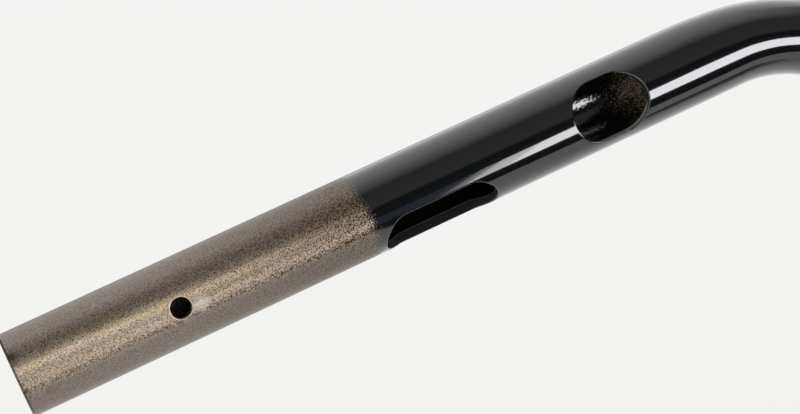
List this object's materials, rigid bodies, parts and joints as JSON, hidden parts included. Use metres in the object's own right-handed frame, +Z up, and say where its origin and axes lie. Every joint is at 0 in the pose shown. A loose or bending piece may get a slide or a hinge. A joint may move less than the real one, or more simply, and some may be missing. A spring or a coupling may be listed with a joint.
{
  "type": "motorcycle handlebar",
  "caption": "Bent steel handlebar for internal wiring, with press-flattened bends, a bare throttle seat, a slot and an oval window for wires, and a clamp section.",
  "frame": {"origin": "centre of the clamp section, on the tube's axis", "axes": "+X along the clamp section towards the clutch grip, +Y back towards the rider, +Z up along the risers, as fitted to the motorcycle; the throttle grip is on the -X side"},
  "size_m": [0.8428, 0.1875, 0.222],
  "materials": {
    "black_powder_coat": "gloss black powder coat over steel tube",
    "bare_steel": "bare mild steel with a faint tan bloom and dark specks of overspray"
  },
  "bodies": {
    "root": {"clamp_section": "black_powder_coat", "throttle_grip_end": "bare_steel", "throttle_control_section": "black_powder_coat", "throttle_upper_bend": "black_powder_coat", "throttle_riser": "black_powder_coat", "throttle_lower_bend": "black_powder_coat", "clutch_grip_end": "black_powder_coat", "clutch_control_section": "black_powder_coat", "clutch_upper_bend": "black_powder_coat", "clutch_riser": "black_powder_coat", "clutch_lower_bend": "black_powder_coat"}
  },
  "joints": []
}
